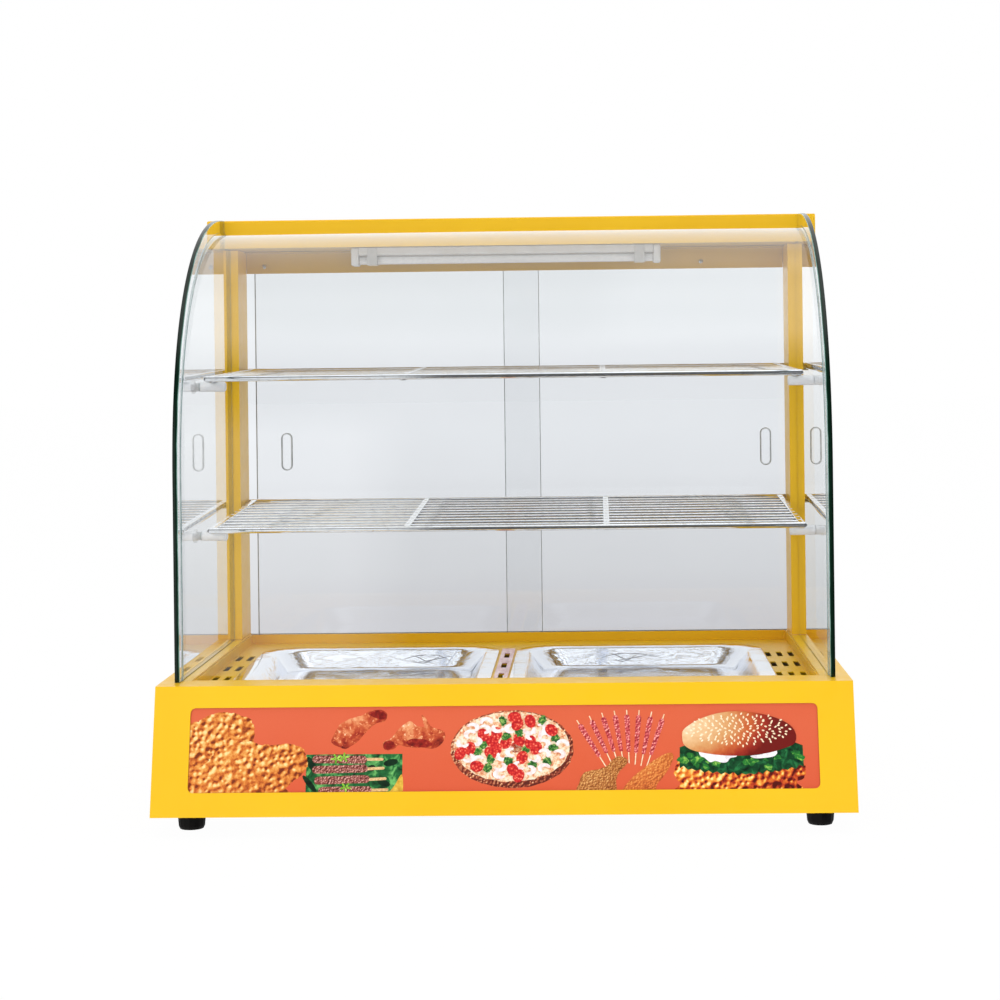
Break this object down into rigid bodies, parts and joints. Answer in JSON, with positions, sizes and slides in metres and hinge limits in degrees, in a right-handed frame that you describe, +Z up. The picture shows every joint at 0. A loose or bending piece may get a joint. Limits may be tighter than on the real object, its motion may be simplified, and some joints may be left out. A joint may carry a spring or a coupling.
{
  "type": "hot food display case",
  "caption": "Countertop hot food display case with a curved glass front, heated trays, wire shelves, a lamp and sliding rear doors.",
  "frame": {"origin": "centre of the bounding box's bottom, on the counter between the four feet", "axes": "+X to the customer's right along the case's width, +Y from the curved glass front to the server's doors, +Z up"},
  "size_m": [0.66, 0.45, 0.597],
  "materials": {
    "yellow_paint": "glossy powder coat",
    "picture_print": "printed picture under gloss film",
    "black_rubber": "matt",
    "stainless_steel": "satin, with protective film on the rims",
    "divider_film": "pink protective film over sheet",
    "clear_glass": "clear with polished green edges",
    "aluminium_track": "anodised",
    "chrome_wire": "bright chrome plate",
    "white_nylon": "moulded",
    "gold_zinc": "yellow zinc plate",
    "bright_steel": "bright",
    "lamp_white": "white enamel",
    "lamp_glow": "frosted tube",
    "galvanised_steel": "galvanised",
    "heater_sheath": "heat darkened",
    "black_plastic": "moulded",
    "red_plastic": "translucent red",
    "beige_plastic": "moulded"
  },
  "bodies": {
    "case": {"base_shell": "yellow_paint", "bottom_plate": "galvanised_steel", "picture_panel": "picture_print", "rear_panel": "yellow_paint", "foot_front_left": "black_rubber", "foot_front_right": "black_rubber", "foot_rear_left": "black_rubber", "foot_rear_right": "black_rubber", "deck_plate": "yellow_paint", "tray_divider": "divider_film", "side_glass_left": "clear_glass", "side_glass_right": "clear_glass", "front_glass": "clear_glass", "post_left": "yellow_paint", "post_right": "yellow_paint", "roof_hood": "yellow_paint", "roof_liner": "yellow_paint", "header_rail": "yellow_paint", "top_track": "aluminium_track", "bottom_track": "aluminium_track", "peg_lower_left": "white_nylon", "peg_lower_right": "white_nylon", "peg_upper_left": "white_nylon", "peg_upper_right": "white_nylon", "peg_cap_lower_left": "bright_steel", "peg_cap_lower_right": "bright_steel", "peg_cap_upper_left": "bright_steel", "peg_cap_upper_right": "bright_steel", "hook_lower_left": "gold_zinc", "hook_lower_right": "gold_zinc", "hook_upper_left": "gold_zinc", "hook_upper_right": "gold_zinc", "lamp_batten": "lamp_white", "lamp_tube": "lamp_glow", "lamp_end_left": "lamp_white", "lamp_end_right": "lamp_white", "lamp_clip_left": "clear_glass", "lamp_clip_right": "clear_glass", "lamp_driver": "lamp_white", "heat_reflector": "galvanised_steel", "heater_bracket_front": "galvanised_steel", "heater_bracket_rear": "galvanised_steel", "heater_left": "heater_sheath", "heater_right": "heater_sheath", "thermostat_body": "beige_plastic", "heat_switch_housing": "black_plastic", "light_switch_housing": "black_plastic", "pilot_lamp": "red_plastic", "cord_gland": "black_plastic", "terminal_block": "beige_plastic"},
    "door_left": {"door_left": "clear_glass"},
    "door_right": {"door_right": "clear_glass"},
    "shelf_lower": {"shelf_lower": "chrome_wire"},
    "shelf_upper": {"shelf_upper": "chrome_wire"},
    "tray_left": {"tray_left": "stainless_steel"},
    "tray_right": {"tray_right": "stainless_steel"},
    "thermostat_knob": {"thermostat_knob": "black_plastic"},
    "heat_rocker": {"heat_switch_rocker": "red_plastic"},
    "light_rocker": {"light_switch_rocker": "black_plastic"}
  },
  "joints": [
    {"name": "door_left_slide", "type": "slide", "parent": "case", "child": "door_left", "axis": [1, 0, 0], "range_m": [-0.012, 0.28]},
    {"name": "door_right_slide", "type": "slide", "parent": "case", "child": "door_right", "axis": [1, 0, 0], "range_m": [-0.29, 0]},
    {"name": "shelf_lower_lift", "type": "slide", "parent": "case", "child": "shelf_lower", "axis": [0, 0, 1], "range_m": [0, 0.055]},
    {"name": "shelf_upper_lift", "type": "slide", "parent": "case", "child": "shelf_upper", "axis": [0, 0, 1], "range_m": [0, 0.055]},
    {"name": "tray_left_lift", "type": "slide", "parent": "case", "child": "tray_left", "axis": [0, 0, 1], "range_m": [0, 0.12]},
    {"name": "tray_right_lift", "type": "slide", "parent": "case", "child": "tray_right", "axis": [0, 0, 1], "range_m": [0, 0.12]},
    {"name": "thermostat_turn", "type": "hinge", "parent": "case", "child": "thermostat_knob", "pos_m": [0.215, 0.2052, 0.072], "axis": [0, -1, 0], "range_deg": [0, 270]},
    {"name": "heat_rocker_tilt", "type": "hinge", "parent": "case", "child": "heat_rocker", "pos_m": [0.155, 0.2045, 0.072], "axis": [-1, 0, 0], "range_deg": [0, 14]},
    {"name": "light_rocker_tilt", "type": "hinge", "parent": "case", "child": "light_rocker", "pos_m": [0.115, 0.2045, 0.072], "axis": [-1, 0, 0], "range_deg": [0, 14]}
  ]
}
